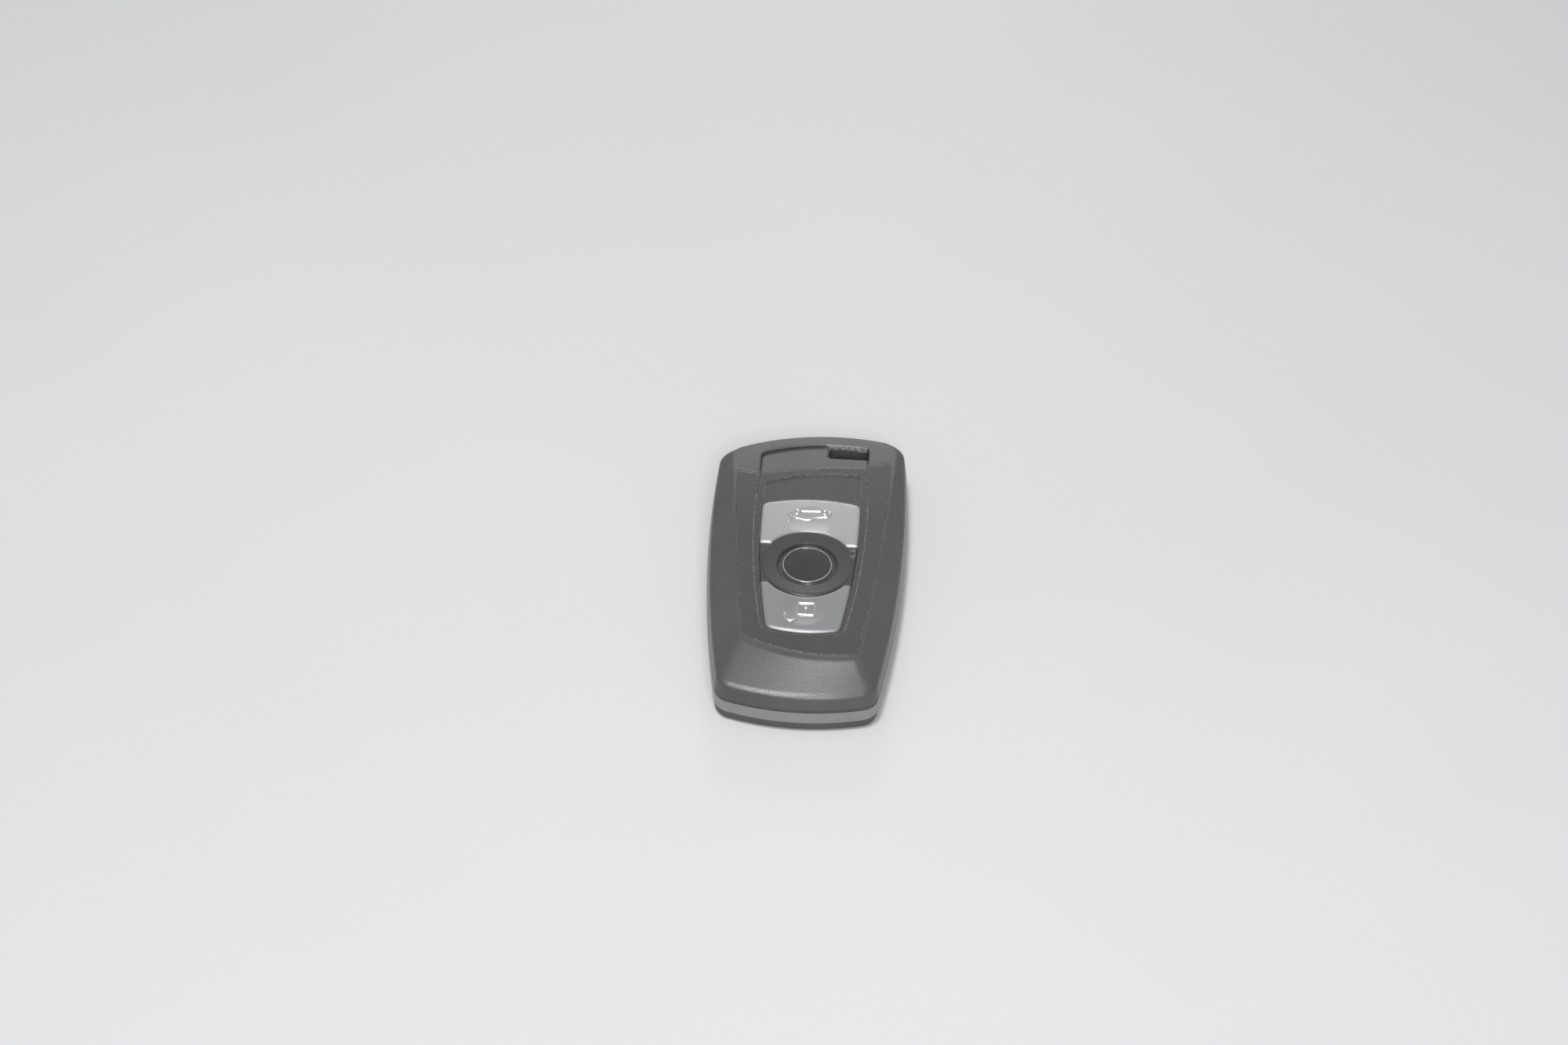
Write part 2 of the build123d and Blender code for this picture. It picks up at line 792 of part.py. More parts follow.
def antenna():
    """Low-frequency antenna: a ferrite bar with end flanges and the winding between them."""
    x, y = antenna_place
    middle = board_top + antenna_height / 2
    turn_length = antenna_length - 2 * antenna_flange
    core = Pos(x, y, middle) * Box(antenna_length, antenna_core, antenna_core)
    for side in (-1, 1):
        flange_x = x + side * (antenna_length - antenna_flange) / 2
        core += Pos(flange_x, y, middle) * Box(antenna_flange, antenna_width, antenna_height)
    winding_width = antenna_width - winding_inset
    winding_height = antenna_height - winding_inset
    winding = Pos(x, y, middle) * Box(turn_length, winding_width, winding_height)
    winding -= Pos(x, y, middle) * Box(antenna_length, antenna_core, antenna_core)
    return core, winding


def chip_capacitors():
    """A column of chip capacitors."""
    parts = []
    for index in range(capacitor_count):
        place = (capacitor_column_x, capacitor_first_y + index * capacitor_pitch)
        parts.append(on_board(place, capacitor_size))
    return Compound(children=parts)


def coin_cell():
    """Coin cell with its smaller lid."""
    cell = post(cell_x, cell_y, cell_bottom, cell_radius, cell_thickness)
    step = post(cell_x, cell_y, cell_bottom + cell_step_height, reach, cell_thickness)
    lid = post(cell_x, cell_y, cell_bottom, cell_radius - cell_lid_inset, cell_thickness)
    return (cell - step) + lid


def positive_contact():
    """Strip that stands on the board and touches the cell's rim."""
    x = cell_x + cell_radius + contact_thickness / 2
    return box(x, cell_y, cell_bottom, contact_thickness, contact_width, board_bottom - cell_bottom)


def negative_contact():
    """Sprung plate between the board and the cell, with two arms bent down to it."""
    base_bottom = board_bottom - contact_thickness
    plate = box(cell_x, cell_y, base_bottom, contact_reach, contact_width, contact_thickness)
    drop = base_bottom - (cell_bottom + cell_thickness)
    for side in (-1, 1):
        x = cell_x + side * (contact_reach / 2 - contact_thickness / 2)
        plate += box(x, cell_y, base_bottom - drop, contact_thickness, arm_width, drop)
        foot_x = cell_x + side * (contact_reach / 2 - arm_width / 2)
        plate += box(foot_x, cell_y, base_bottom - drop, arm_width, arm_width, contact_thickness)
    return plate


def battery_cover():
    """Cover of the battery bay: plate with rounded corners and a round boss."""
    side = cover_side - 2 * cover_gap
    outline = Pos(cell_x, cell_y) * RectangleRounded(side, side, cover_corner - cover_gap)
    cover = slab(outline, cover_recess, cover_recess + cover_thickness)
    boss_top = cell_bottom - seal_gap
    cover += post(cell_x, cell_y, cover_recess, cover_boss_radius, boss_top - cover_recess)
    return cover


def cover_seal():
    """Rubber ring round the cover's boss."""
    width = cover_hole_radius - cover_boss_radius - 2 * seal_gap
    bottom = cover_recess + cover_thickness
    height = floor_thickness - bottom - seal_gap
    ring = post(cell_x, cell_y, bottom, cover_boss_radius + seal_gap + width, height)
    return ring - post(cell_x, cell_y, 0, cover_boss_radius + seal_gap, above)


def centred(solid):
    """A finished piece moved so that the casing's middle is at the origin."""
    return Pos(-casing_x, 0, 0) * solid


def all_parts():
    """Every piece of the fob by its name."""
    form = casing_form()
    core, winding = antenna()
    parts = {
        "upper_shell": upper_shell(form),
        "gloss_panel": gloss_panel(),
        "middle_frame": middle_frame(form),
        "lower_shell": lower_shell(form),
        "boot_button": silver_button(boot_face, boot_place),
        "unlock_button": silver_button(unlock_face, unlock_place),
        "lock_button": lock_button(),
        "badge_disc": badge_disc(),
        "badge_rim": badge_rim(),
        "keypad_mat": keypad_mat(),
        "circuit_board": circuit_board(),
        "radio_chip": on_board(chip_place, (chip_side, chip_side, chip_height)),
        "crystal": on_board(crystal_place, crystal_size),
        "antenna_core": core,
        "antenna_winding": winding,
        "transponder": on_board(transponder_place, transponder_size),
        "chip_capacitors": chip_capacitors(),
        "coin_cell": coin_cell(),
        "positive_contact": positive_contact(),
        "negative_contact": negative_contact(),
        "battery_cover": battery_cover(),
        "cover_seal": cover_seal(),
        "key_bow": key_bow(form),
        "key_blade": key_blade(),
        "release_latch": release_latch(),
        "latch_spring": latch_spring(),
    }
    for name, place in switch_places.items():
        parts[name + "_switch"] = switch_body(place)
        parts[name + "_plunger"] = switch_plunger(place)
    return {name: centred(solid) for name, solid in parts.items()}


os.makedirs("parts", exist_ok=True)
for node, solid in all_parts().items():
    print(node)
    export_step(solid, "parts/" + node + ".step")
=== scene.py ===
import bpy
import math
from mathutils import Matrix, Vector


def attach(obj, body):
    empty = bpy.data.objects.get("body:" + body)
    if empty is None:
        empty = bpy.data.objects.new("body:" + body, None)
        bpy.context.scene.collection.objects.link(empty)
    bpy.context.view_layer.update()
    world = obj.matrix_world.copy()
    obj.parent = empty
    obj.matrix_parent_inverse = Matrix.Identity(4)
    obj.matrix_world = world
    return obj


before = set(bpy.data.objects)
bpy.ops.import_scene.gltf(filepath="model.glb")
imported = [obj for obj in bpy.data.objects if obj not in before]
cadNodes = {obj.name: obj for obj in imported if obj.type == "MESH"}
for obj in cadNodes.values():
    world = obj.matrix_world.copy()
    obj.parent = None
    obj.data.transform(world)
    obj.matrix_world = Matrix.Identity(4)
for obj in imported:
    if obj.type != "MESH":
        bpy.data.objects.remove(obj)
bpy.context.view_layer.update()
mm = 0.001
print("frame loaded:", len(cadNodes), "nodes")


# Small helpers

# a noise texture's values gather round the middle
noiseMiddle = 0.5
noiseLow = 0.3
noiseHigh = 0.7

edgeSamples = 4

# the colour sockets of a Mix node share their names with others, so they are picked by number
mixBelow = 6
mixAbove = 7
mixResult = 2

# what a finish has unless its own look says otherwise
plainLook = {
    "spread": 0.25, "stretch": (1, 1, 1), "grainDetail": 3.0, "roughDetail": 2.0,
    "metallic": 0.0, "specular": 0.5, "coat": 0.0, "coatRough": 0.05,
}


def linkNodes(tree, fromNode, fromName, toNode, toName):
    tree.links.new(fromNode.outputs[fromName], toNode.inputs[toName])


def newMaterial(name):
    material = bpy.data.materials.new(name)
    material.use_nodes = True
    tree = material.node_tree
    shader = tree.nodes["Principled BSDF"]
    coords = tree.nodes.new("ShaderNodeTexCoord")
    return material, tree, shader, coords


def addNoise(tree, coords, scale, detail=4.0, stretch=(1, 1, 1)):
    mapping = tree.nodes.new("ShaderNodeMapping")
    mapping.inputs["Scale"].default_value = stretch
    noise = tree.nodes.new("ShaderNodeTexNoise")
    noise.inputs["Scale"].default_value = scale
    noise.inputs["Detail"].default_value = detail
    linkNodes(tree, coords, "Object", mapping, "Vector")
    linkNodes(tree, mapping, "Vector", noise, "Vector")
    return noise


def mixColours(tree, noise, low, high, spread):
    ramp = tree.nodes.new("ShaderNodeValToRGB")
    ramp.color_ramp.elements[0].position = noiseMiddle - spread
    ramp.color_ramp.elements[1].position = noiseMiddle + spread
    ramp.color_ramp.elements[0].color = (*low, 1)
    ramp.color_ramp.elements[1].color = (*high, 1)
    linkNodes(tree, noise, "Fac", ramp, "Fac")
    return ramp.outputs["Color"]


def rangeOf(tree, noise, low, high):
    spread = tree.nodes.new("ShaderNodeMapRange")
    spread.inputs["From Min"].default_value = noiseLow
    spread.inputs["From Max"].default_value = noiseHigh
    spread.inputs["To Min"].default_value = low
    spread.inputs["To Max"].default_value = high
    linkNodes(tree, noise, "Fac", spread, "Value")
    return spread.outputs["Result"]


def maskBetween(tree, source, socket, start, full):
    mask = tree.nodes.new("ShaderNodeMapRange")
    mask.inputs["From Min"].default_value = start
    mask.inputs["From Max"].default_value = full
    linkNodes(tree, source, socket, mask, "Value")
    return mask.outputs["Result"]


def multiply(tree, first, second):
    product = tree.nodes.new("ShaderNodeMath")
    product.operation = "MULTIPLY"
    tree.links.new(first, product.inputs[0])
    tree.links.new(second, product.inputs[1])
    return product.outputs["Value"]


def blend(tree, amount, below, above):
    mixed = tree.nodes.new("ShaderNodeMix")
    mixed.data_type = "RGBA"
    tree.links.new(amount, mixed.inputs["Factor"])
    tree.links.new(below, mixed.inputs[mixBelow])
    tree.links.new(above, mixed.inputs[mixAbove])
    return mixed.outputs[mixResult]


def splitVector(tree, coords, socket):
    parts = tree.nodes.new("ShaderNodeSeparateXYZ")
    linkNodes(tree, coords, socket, parts, "Vector")
    return parts


def roundedEdge(tree, radius):
    edge = tree.nodes.new("ShaderNodeBevel")
    edge.samples = edgeSamples
    edge.inputs["Radius"].default_value = radius * mm
    return edge


def grainNormal(tree, coords, shader, look):
    # a rounded edge first, the grain on top of it
    edge = roundedEdge(tree, look["edge"])
    grain = addNoise(tree, coords, look["grainScale"], look["grainDetail"], look["stretch"])
    bump = tree.nodes.new("ShaderNodeBump")
    bump.inputs["Strength"].default_value = look["grainStrength"]
    bump.inputs["Distance"].default_value = look["grainDepth"] * mm
    linkNodes(tree, grain, "Fac", bump, "Height")
    linkNodes(tree, edge, "Normal", bump, "Normal")
    linkNodes(tree, bump, "Normal", shader, "Normal")


def paintedEdgeGlint(tree, coords, surface, look):
    # painted highlights: beaded glints painted into the colour, where the rounded normal turns away from the
    # true one
    edge = roundedEdge(tree, look["glintWidth"])
    face = tree.nodes.new("ShaderNodeNewGeometry")
    turned = tree.nodes.new("ShaderNodeVectorMath")
    turned.operation = "DOT_PRODUCT"
    tree.links.new(edge.outputs["Normal"], turned.inputs[0])
    tree.links.new(face.outputs["True Normal"], turned.inputs[1])
    onEdge = maskBetween(tree, turned, "Value", look["glintFlat"], look["glintTurned"])
    beads = rangeOf(tree, addNoise(tree, coords, look["beadScale"], look["beadDetail"]), 0.0, 1.0)
    tone = addNoise(tree, coords, look["beadScale"])
    glint = mixColours(tree, tone, look["glintLow"], look["glintHigh"], look["glintSpread"])
    return blend(tree, multiply(tree, onEdge, beads), surface, glint)


def paintedSlotLight(tree, coords, surface, look):
    # painted light: the slot's far wall is painted light and mottled near the top, where the light falls on
    # it, and a dimmer tone deeper down, in the lip's shade
    facing = splitVector(tree, coords, "Normal")
    spot = splitVector(tree, coords, "Object")
    inSlot = maskBetween(tree, facing, "Y", look["facingStart"], look["facingFull"])
    for axis, start in (("X", look["slotLeft"]), ("Y", look["slotNear"])):
        inside = maskBetween(tree, spot, axis, start * mm, (start + look["slotFade"]) * mm)
        inSlot = multiply(tree, inSlot, inside)
    height = maskBetween(tree, spot, "Z", look["litFrom"] * mm, look["litFull"] * mm)
    mottle = addNoise(tree, coords, look["slotMottleScale"], look["slotMottleDetail"])
    litTone = mixColours(tree, mottle, look["litLow"], look["litHigh"], look["slotMottleSpread"])
    dimTone = mixColours(tree, mottle, look["deepLow"], look["deepHigh"], look["slotMottleSpread"])
    return blend(tree, inSlot, surface, blend(tree, height, dimTone, litTone))


def boardWeave(tree, coords, surface, look):
    # the glass cloth's weave showing through the lacquer
    weave = tree.nodes.new("ShaderNodeTexBrick")
    weave.inputs["Scale"].default_value = look["weaveScale"]
    weave.inputs["Mortar Size"].default_value = look["weaveGap"]
    weave.inputs["Mortar Smooth"].default_value = look["weaveSmooth"]
    linkNodes(tree, coords, "Object", weave, "Vector")
    tone = addNoise(tree, coords, look["cloudScale"])
    threads = mixColours(tree, tone, look["weaveLow"], look["weaveHigh"], look["weaveSpread"])
    return blend(tree, weave.outputs["Fac"], surface, threads)


def finishMaterial(name, ownLook):
    look = {**plainLook, **ownLook}
    material, tree, shader, coords = newMaterial(name)
    cloud = addNoise(tree, coords, look["cloudScale"])
    surface = mixColours(tree, cloud, look["low"], look["high"], look["spread"])
    # painted highlights along the edges
    if "glintWidth" in look:
        surface = paintedEdgeGlint(tree, coords, surface, look)
    if "weaveScale" in look:
        surface = boardWeave(tree, coords, surface, look)
    # painted light and shade on the slot's wall
    if "slotMottleScale" in look:
        surface = paintedSlotLight(tree, coords, surface, look)
    tree.links.new(surface, shader.inputs["Base Color"])
    fine = addNoise(tree, coords, look["grainScale"], look["roughDetail"], look["stretch"])
    tree.links.new(rangeOf(tree, fine, look["roughLow"], look["roughHigh"]), shader.inputs["Roughness"])
    shader.inputs["Metallic"].default_value = look["metallic"]
    shader.inputs["Coat Weight"].default_value = look["coat"]
    shader.inputs["Coat Roughness"].default_value = look["coatRough"]
    shader.inputs["Specular IOR Level"].default_value = look["specular"]
    grainNormal(tree, coords, shader, look)
    return material


def paint(material, *names):
    for name in names:
        slots = cadNodes[name].data.materials
        slots.clear()
        slots.append(material)


# Finishes of the casing

shellLook = {
    "low": (0.080, 0.078, 0.082), "high": (0.100, 0.098, 0.103),
    "cloudScale": 90, "grainScale": 4300, "grainStrength": 0.75, "grainDepth": 0.035, "grainDetail": 7.0,
    "roughLow": 0.25, "roughHigh": 0.40, "specular": 0.75, "edge": 0.9,
    # the painted edge highlights
    "glintWidth": 0.18, "glintFlat": 0.97, "glintTurned": 0.85, "beadScale": 1700, "beadDetail": 2.0,
    "glintLow": (0.30, 0.30, 0.30), "glintHigh": (0.56, 0.56, 0.56), "glintSpread": 0.2,
}
headLook = {
    **shellLook,
    # painted light on the slot's far wall: lit and mottled near the top, dimmer deeper down
    "slotLeft": 2.6, "slotNear": 34.5, "slotFade": 0.4, "facingStart": -0.75, "facingFull": -0.95,
    "litFrom": 8.4, "litFull": 10.7, "slotMottleScale": 1300, "slotMottleDetail": 3.0, "slotMottleSpread": 0.12,
    "litLow": (0.26, 0.26, 0.26), "litHigh": (0.62, 0.62, 0.62),
    "deepLow": (0.150, 0.150, 0.155), "deepHigh": (0.200, 0.200, 0.205),
}
panelLook = {
    "low": (0.070, 0.066, 0.068), "high": (0.086, 0.081, 0.083),
    "cloudScale": 60, "grainScale": 1500, "grainStrength": 0.04, "grainDepth": 0.01,
    "roughLow": 0.20, "roughHigh": 0.28, "coat": 0.5, "coatRough": 0.14, "edge": 0.16,
    # the painted edge highlights
    "glintWidth": 0.20, "glintFlat": 0.97, "glintTurned": 0.85, "beadScale": 1700, "beadDetail": 2.0,
    "glintLow": (0.40, 0.39, 0.38), "glintHigh": (0.78, 0.77, 0.75), "glintSpread": 0.2,
}
bandLook = {
    "low": (0.28, 0.28, 0.28), "high": (0.34, 0.34, 0.34),
    "cloudScale": 110, "grainScale": 4200, "grainStrength": 0.22, "grainDepth": 0.02,
    "roughLow": 0.32, "roughHigh": 0.46, "metallic": 0.25, "edge": 0.18,
}
coverLook = {
    "low": (0.075, 0.073, 0.077), "high": (0.095, 0.093, 0.097),
    "cloudScale": 90, "grainScale": 3600, "grainStrength": 0.35, "grainDepth": 0.025,
    "roughLow": 0.42, "roughHigh": 0.58, "edge": 0.18,
}

paint(finishMaterial("grainedShell", shellLook), "upper_shell")
paint(finishMaterial("grainedHead", headLook), "key_bow")
paint(finishMaterial("grainedBack", coverLook), "lower_shell", "battery_cover", "release_latch")
paint(finishMaterial("glossPanel", panelLook), "gloss_panel")
paint(finishMaterial("satinBand", bandLook), "middle_frame")
print("casing painted")


# Finishes of the buttons

silverLook = {
    "low": (0.37, 0.375, 0.38), "high": (0.41, 0.415, 0.42),
    "cloudScale": 60, "grainScale": 2200, "grainStrength": 0.02, "grainDepth": 0.004,
    "roughLow": 0.30, "roughHigh": 0.34, "metallic": 0.6, "edge": 1.0,
}
# painted light: the boot button wears the same silver paint as the unlock button, painted lighter for the
# light its dish catches
bootLitLook = {**silverLook, "low": (0.50, 0.50, 0.50), "high": (0.55, 0.55, 0.55)}
lockLook = {
    "low": (0.060, 0.059, 0.058), "high": (0.074, 0.073, 0.072),
    "cloudScale": 80, "grainScale": 1400, "grainStrength": 0.02, "grainDepth": 0.005,
    "roughLow": 0.28, "roughHigh": 0.34, "edge": 0.7,
}
discLook = {
    "low": (0.040, 0.038, 0.037), "high": (0.055, 0.052, 0.050),
    "cloudScale": 120, "grainScale": 1200, "grainStrength": 0.02, "grainDepth": 0.01,
    "roughLow": 0.08, "roughHigh": 0.14, "coat": 0.8, "coatRough": 0.03, "edge": 0.08,
}
rimLook = {
    "low": (0.66, 0.65, 0.63), "high": (0.76, 0.75, 0.73),
    "cloudScale": 200, "grainScale": 2600, "grainStrength": 0.03, "grainDepth": 0.005,
    "roughLow": 0.14, "roughHigh": 0.22, "metallic": 0.9, "edge": 0.06,
}
# painted highlight: the symbols are the buttons' own silver, painted much lighter so their raised strokes
# catch bright highlights
litSymbolLook = {
    "low": (0.78, 0.78, 0.78), "high": (0.86, 0.86, 0.86),
    "cloudScale": 300, "grainScale": 2000, "grainStrength": 0.02, "grainDepth": 0.004,
    "roughLow": 0.16, "roughHigh": 0.22, "metallic": 0.85, "edge": 0.05,
}
faintLook = {
    **litSymbolLook, "low": (0.24, 0.23, 0.23), "high": (0.32, 0.31, 0.31),
    "roughLow": 0.34, "roughHigh": 0.4,
}

paint(finishMaterial("silverPaint", silverLook), "unlock_button")
paint(finishMaterial("silverPaintLit", bootLitLook), "boot_button")
paint(finishMaterial("lockBlack", lockLook), "lock_button")
paint(finishMaterial("discGloss", discLook), "badge_disc")
paint(finishMaterial("brightRim", rimLook), "badge_rim")
litSymbolSilver = finishMaterial("litSymbolSilver", litSymbolLook)
faintSymbol = finishMaterial("faintSymbol", faintLook)
print("buttons painted")


# Finishes of the pieces inside

rubberLook = {
    "low": (0.028, 0.028, 0.028), "high": (0.042, 0.042, 0.042),
    "cloudScale": 160, "grainScale": 3000, "grainStrength": 0.3, "grainDepth": 0.02,
    "roughLow": 0.62, "roughHigh": 0.8, "edge": 0.12,
}
boardLook = {
    "low": (0.014, 0.085, 0.038), "high": (0.020, 0.105, 0.048),
    "cloudScale": 250, "grainScale": 2400, "grainStrength": 0.1, "grainDepth": 0.01,
    "weaveScale": 420, "weaveGap": 0.035, "weaveSmooth": 0.1, "weaveSpread": 0.2,
    "weaveLow": (0.024, 0.125, 0.056), "weaveHigh": (0.032, 0.15, 0.068),
    "roughLow": 0.3, "roughHigh": 0.42, "edge": 0.05,
}
resinLook = {
    "low": (0.020, 0.020, 0.022), "high": (0.032, 0.032, 0.034),
    "cloudScale": 400, "grainScale": 5000, "grainStrength": 0.25, "grainDepth": 0.01,
    "roughLow": 0.45, "roughHigh": 0.6, "edge": 0.05,
}
ferriteLook = {
    "low": (0.045, 0.042, 0.042), "high": (0.075, 0.070, 0.069),
    "cloudScale": 900, "grainScale": 4000, "grainStrength": 0.35, "grainDepth": 0.015,
    "roughLow": 0.5, "roughHigh": 0.7, "edge": 0.06,
}
copperLook = {
    "low": (0.42, 0.16, 0.07), "high": (0.62, 0.27, 0.12),
    "cloudScale": 60, "spread": 0.12, "stretch": (60, 1, 1), "grainScale": 90,
    "grainStrength": 0.7, "grainDepth": 0.06,
    "roughLow": 0.25, "roughHigh": 0.4, "metallic": 0.85, "edge": 0.08,
}
steelLook = {
    "low": (0.50, 0.50, 0.515), "high": (0.62, 0.62, 0.635),
    "cloudScale": 90, "stretch": (12, 1, 12), "grainScale": 500, "grainStrength": 0.07, "grainDepth": 0.006,
    "roughLow": 0.24, "roughHigh": 0.4, "metallic": 0.95, "edge": 0.1,
}
sheetSteelLook = {
    "low": (0.46, 0.46, 0.475), "high": (0.56, 0.56, 0.575),
    "cloudScale": 200, "grainScale": 2600, "grainStrength": 0.08, "grainDepth": 0.006,
    "roughLow": 0.28, "roughHigh": 0.42, "metallic": 0.95, "edge": 0.04,
}
ceramicLook = {
    "low": (0.30, 0.23, 0.17), "high": (0.38, 0.30, 0.23),
    "cloudScale": 800, "grainScale": 4000, "grainStrength": 0.1, "grainDepth": 0.008,
    "roughLow": 0.4, "roughHigh": 0.55, "edge": 0.04,
}

paint(finishMaterial("softRubber", rubberLook), "keypad_mat", "cover_seal")
paint(finishMaterial("boardLacquer", boardLook), "circuit_board")
paint(finishMaterial("mouldedResin", resinLook), "radio_chip", "transponder", "boot_plunger",
      "lock_plunger", "unlock_plunger")
paint(finishMaterial("ferriteBar", ferriteLook), "antenna_core")
paint(finishMaterial("copperTurns", copperLook), "antenna_winding")
paint(finishMaterial("bladeSteel", steelLook), "key_blade")
paint(finishMaterial("sheetSteel", sheetSteelLook), "coin_cell", "crystal", "positive_contact",
      "negative_contact", "boot_switch", "lock_switch", "unlock_switch", "latch_spring")
paint(finishMaterial("chipCeramic", ceramicLook), "chip_capacitors")
print("inner pieces painted")


# Raised symbols on the buttons

quarterTurn = 90
fullTurn = 360

# strokes start above the fob, and lengths are in millimetres
strokeLook = {"start": 14.0, "cuts": 2, "join": 0.01, "roundness": 3, "cornerParts": 4, "dotParts": 8}

padlock = {
    "left": -1.0, "right": 2.9, "near": -17.9, "far": -14.4, "corner": 0.5,
    "shackle": (-2.3, -18.7), "shackleRadius": 1.3, "shackleTurn": 200, "shackleParts": 12,
    "keyhole": [(0.9, -16.2), (0.9, -17.9)],
    "dots": [(0.9, -15.8), (-3.55, -18.2)], "dotRadius": 0.24, "width": 0.62,
}
openCar = {
    "wheels": [(-2.6, 14.3), (3.6, 14.4)], "wheelRadius": 0.6, "wheelParts": 16,
    "sill": [(-1.6, 14.7), (2.6, 14.85)],
    "roof": [(-3.6, 12.8), (-2.8, 12.4), (-1.6, 12.05), (-0.4, 11.95), (0.6, 12.1), (1.6, 12.7), (3.0, 13.0),
             (4.2, 13.1), (4.9, 13.6), (5.0, 14.4), (4.5, 14.75)],
    "tail": [(-3.6, 12.8), (-4.4, 13.2), (-4.5, 13.8), (-3.9, 14.2)],
    "lid": [(-3.6, 12.8), (-4.35, 11.3)],
    "dots": [(-4.38, 11.25), (4.8, 14.5)], "dotRadius": 0.16, "width": 0.5,
}
smallLock = {
    "left": 9.7, "right": 11.0, "near": 1.1, "far": 2.7, "corner": 0.25,
    "shackle": (10.35, 0.9), "shackleRadius": 0.5, "shackleTurn": 180, "shackleParts": 10, "width": 0.2,
}


def pickNothing():
    if bpy.context.mode != "OBJECT":
        bpy.ops.object.mode_set(mode="OBJECT")
    bpy.ops.object.select_all(action="DESELECT")


def drawStroke(name, points, width, closed):
    # one vertex of a plane, extruded from point to point
    pickNothing()
    x, y = points[0]
    bpy.ops.mesh.primitive_plane_add(size=width * mm, location=(x * mm, y * mm, strokeLook["start"] * mm))
    stroke = bpy.context.active_object
    stroke.name = name
    bpy.ops.object.mode_set(mode="EDIT")
    bpy.ops.mesh.merge(type="CENTER")
    for (ax, ay), (bx, by) in zip(points, points[1:]):
        step = ((bx - ax) * mm, (by - ay) * mm, 0)
        bpy.ops.mesh.extrude_region_move(TRANSFORM_OT_translate={"value": step})
    bpy.ops.mesh.select_all(action="SELECT")
    if closed:
        bpy.ops.mesh.remove_doubles(threshold=strokeLook["join"] * mm)
    bpy.ops.mesh.subdivide(number_cuts=strokeLook["cuts"])
    bpy.ops.object.mode_set(mode="OBJECT")
    bpy.ops.object.transform_apply(location=True, rotation=True, scale=True)
    return stroke


def layOn(stroke, button):
    # the line drops straight down on to the button's face
    drop = stroke.modifiers.new("drop", "SHRINKWRAP")
    drop.target = cadNodes[button]
    drop.wrap_method = "PROJECT"
    drop.use_project_z = True
    drop.use_negative_direction = True
    drop.use_positive_direction = False
    bpy.context.view_layer.objects.active = stroke
    bpy.ops.object.modifier_apply(modifier="drop")


def makeBead(stroke, width):
    pickNothing()
    stroke.select_set(True)
    bpy.context.view_layer.objects.active = stroke
    bpy.ops.object.convert(target="CURVE")
    curve = bpy.context.active_object.data
    curve.bevel_depth = width / 2 * mm
    curve.bevel_resolution = strokeLook["roundness"]
    curve.use_fill_caps = True
    bpy.ops.object.convert(target="MESH")
    bpy.ops.object.shade_smooth()
    return bpy.context.active_object


def makeSymbol(name, strokes, button, body, width, material):
    beads = []
    for index, (points, closed) in enumerate(strokes):
        stroke = drawStroke(name + str(index), points, width, closed)
        layOn(stroke, button)
        beads.append(makeBead(stroke, width))
    pickNothing()
    for bead in beads:
        bead.select_set(True)
    bpy.context.view_layer.objects.active = beads[0]
    bpy.ops.object.join()
    symbol = bpy.context.active_object
    symbol.name = name
    symbol.data.name = name
    symbol.data.materials.clear()
    symbol.data.materials.append(material)
    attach(symbol, body)


def arcPoints(centre, radius, start, end, count):
    angles = [math.radians(start + (end - start) * i / count) for i in range(count + 1)]
    return [(centre[0] + radius * math.cos(a), centre[1] + radius * math.sin(a)) for a in angles]


def lockBody(look):
    # four rounded corners, anticlockwise from the far right one
    inset = look["corner"]
    left = look["left"] + inset
    right = look["right"] - inset
    near = look["near"] + inset
    far = look["far"] - inset
    points = []
    for index, spot in enumerate([(right, far), (left, far), (left, near), (right, near)]):
        start = quarterTurn * index
        points += arcPoints(spot, inset, start, start + quarterTurn, strokeLook["cornerParts"])
    return points + points[:1]


def shackleArc(look):
    return arcPoints(look["shackle"], look["shackleRadius"], 0, -look["shackleTurn"], look["shackleParts"])


def circleStrokes(centres, radius, parts):
    return [(arcPoints(centre, radius, 0, fullTurn, parts), True) for centre in centres]


def dotStrokes(look):
    return circleStrokes(look["dots"], look["dotRadius"], strokeLook["dotParts"])


def padlockStrokes(look):
    # the open shackle hangs from the body's left side
    shackle = [(look["left"], look["near"] + look["corner"])] + shackleArc(look)
    return [(lockBody(look), True), (shackle, False), (look["keyhole"], False)] + dotStrokes(look)


def carStrokes(look):
    wheels = circleStrokes(look["wheels"], look["wheelRadius"], look["wheelParts"])
    lines = [(look[part], False) for part in ("sill", "roof", "tail", "lid")]
    return wheels + lines + dotStrokes(look)


def smallLockStrokes(look):
    return [(lockBody(look), True), (shackleArc(look), False)]


makeSymbol("unlock_symbol", padlockStrokes(padlock), "unlock_button", "unlock_button",
           padlock["width"], litSymbolSilver)
makeSymbol("boot_symbol", carStrokes(openCar), "boot_button", "boot_button",
           openCar["width"], litSymbolSilver)
makeSymbol("lock_symbol", smallLockStrokes(smallLock), "lock_button", "lock_button",
           smallLock["width"], faintSymbol)
print("symbols raised")


# Table top

# it lies a little under the fob, so that the two never share a plane
tableLook = {
    "size": 4.0, "drop": 0.02, "low": (0.71, 0.715, 0.72), "high": (0.75, 0.755, 0.76),
    "cloudScale": 6, "spread": 0.3, "rough": 0.6,
}

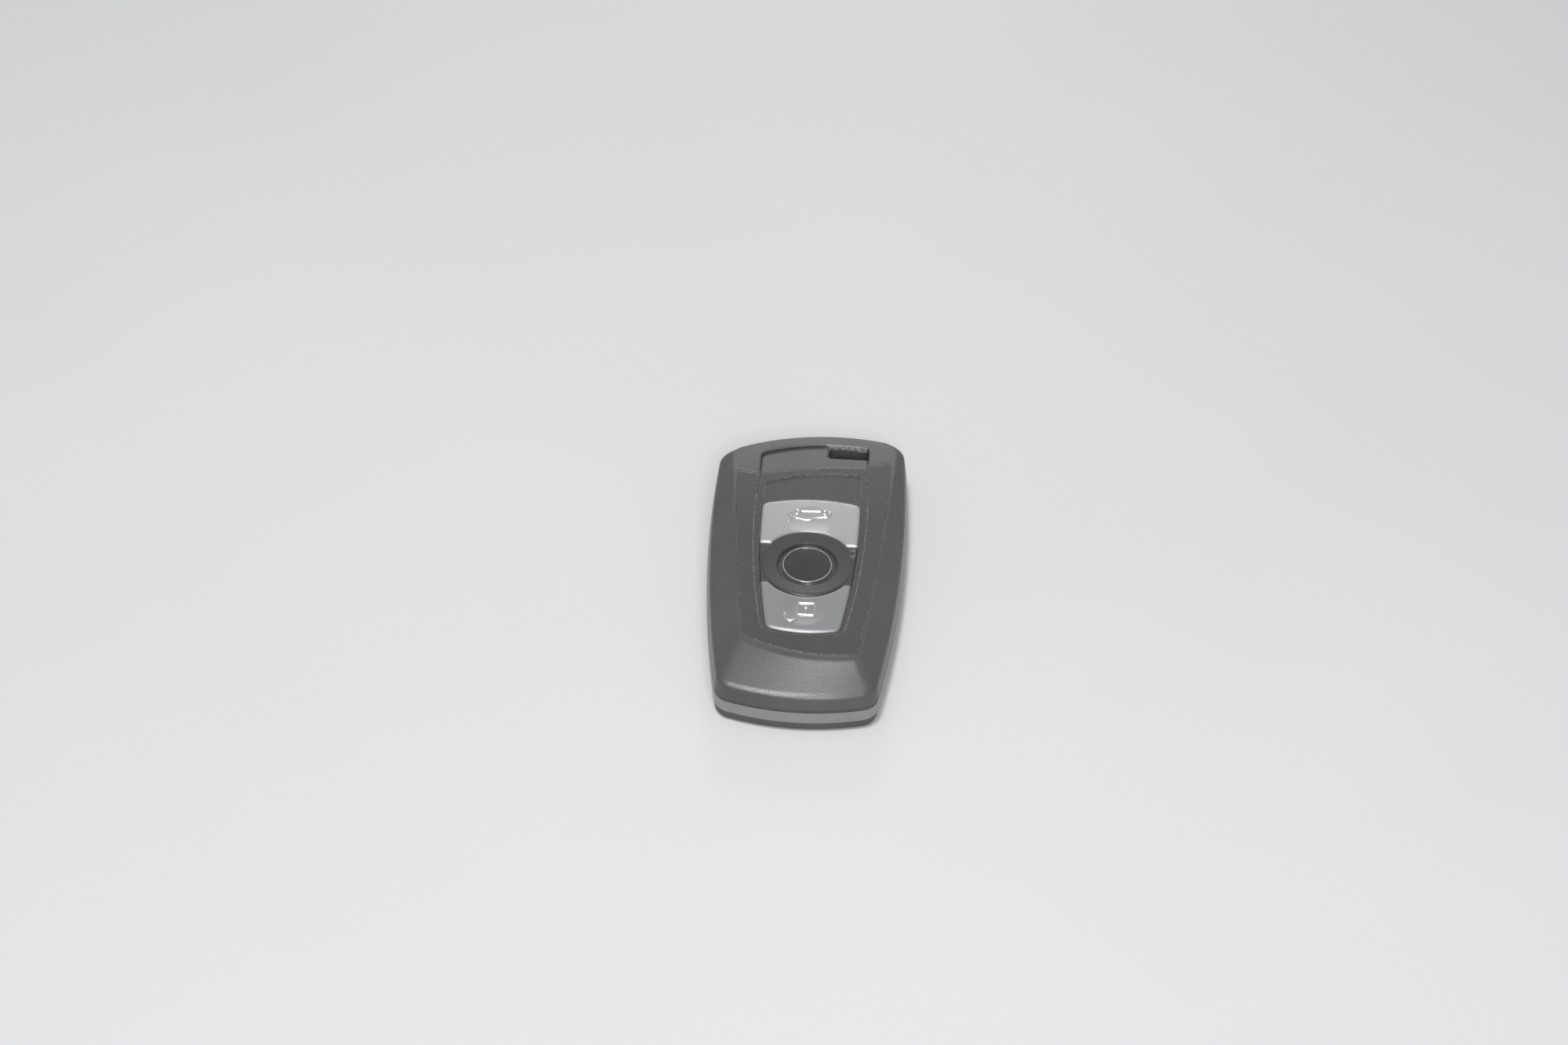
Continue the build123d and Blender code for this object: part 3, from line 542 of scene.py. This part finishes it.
pickNothing()
bpy.ops.mesh.primitive_plane_add(size=tableLook["size"], location=(0, 0, -tableLook["drop"] * mm))
table = bpy.context.active_object
table.name = "table_top"
bpy.ops.object.transform_apply(location=True, rotation=True, scale=True)
material, tree, shader, coords = newMaterial("paleTable")
cloud = addNoise(tree, coords, tableLook["cloudScale"])
colour = mixColours(tree, cloud, tableLook["low"], tableLook["high"], tableLook["spread"])
tree.links.new(colour, shader.inputs["Base Color"])
shader.inputs["Roughness"].default_value = tableLook["rough"]
table.data.materials.append(material)
print("table laid")


# Light and camera

lampLook = {
    "overhead": {"place": (-0.11, -0.13, 0.99), "size": 0.18, "power": 4.8},
    "nearSoft": {"place": (0.10, -0.66, 0.58), "size": 0.25, "power": 2.4},
    "farSoft": {"place": (-0.03, 1.04, 0.44), "size": 0.25, "power": 1.4},
}
worldLook = {"colour": (0.86, 0.88, 0.92), "strength": 0.37}
cameraLook = {
    "place": (0.015529, -0.498797, 0.495312), "tilt": 46.521, "lean": -0.943, "turn": 3.243,
    "lens": 72.18, "sensor": 36.0, "clipStart": 0.01,
}

for name, look in lampLook.items():
    lampData = bpy.data.lights.new(name, "AREA")
    lampData.size = look["size"]
    lampData.energy = look["power"]
    lamp = bpy.data.objects.new(name, lampData)
    bpy.context.scene.collection.objects.link(lamp)
    lamp.location = look["place"]
    lamp.rotation_euler = (-Vector(look["place"])).to_track_quat("-Z", "Y").to_euler()

world = bpy.data.worlds.new("softRoom")
bpy.context.scene.world = world
world.use_nodes = True
background = world.node_tree.nodes["Background"]
background.inputs["Color"].default_value = (*worldLook["colour"], 1)
background.inputs["Strength"].default_value = worldLook["strength"]

cameraData = bpy.data.cameras.new("photoView")
cameraData.lens = cameraLook["lens"]
cameraData.sensor_width = cameraLook["sensor"]
cameraData.clip_start = cameraLook["clipStart"]
camera = bpy.data.objects.new("photoView", cameraData)
bpy.context.scene.collection.objects.link(camera)
camera.location = cameraLook["place"]
camera.rotation_euler = [math.radians(cameraLook[angle]) for angle in ("tilt", "lean", "turn")]
bpy.context.scene.camera = camera
bpy.context.scene.view_settings.view_transform = "Standard"
print("light and camera set")
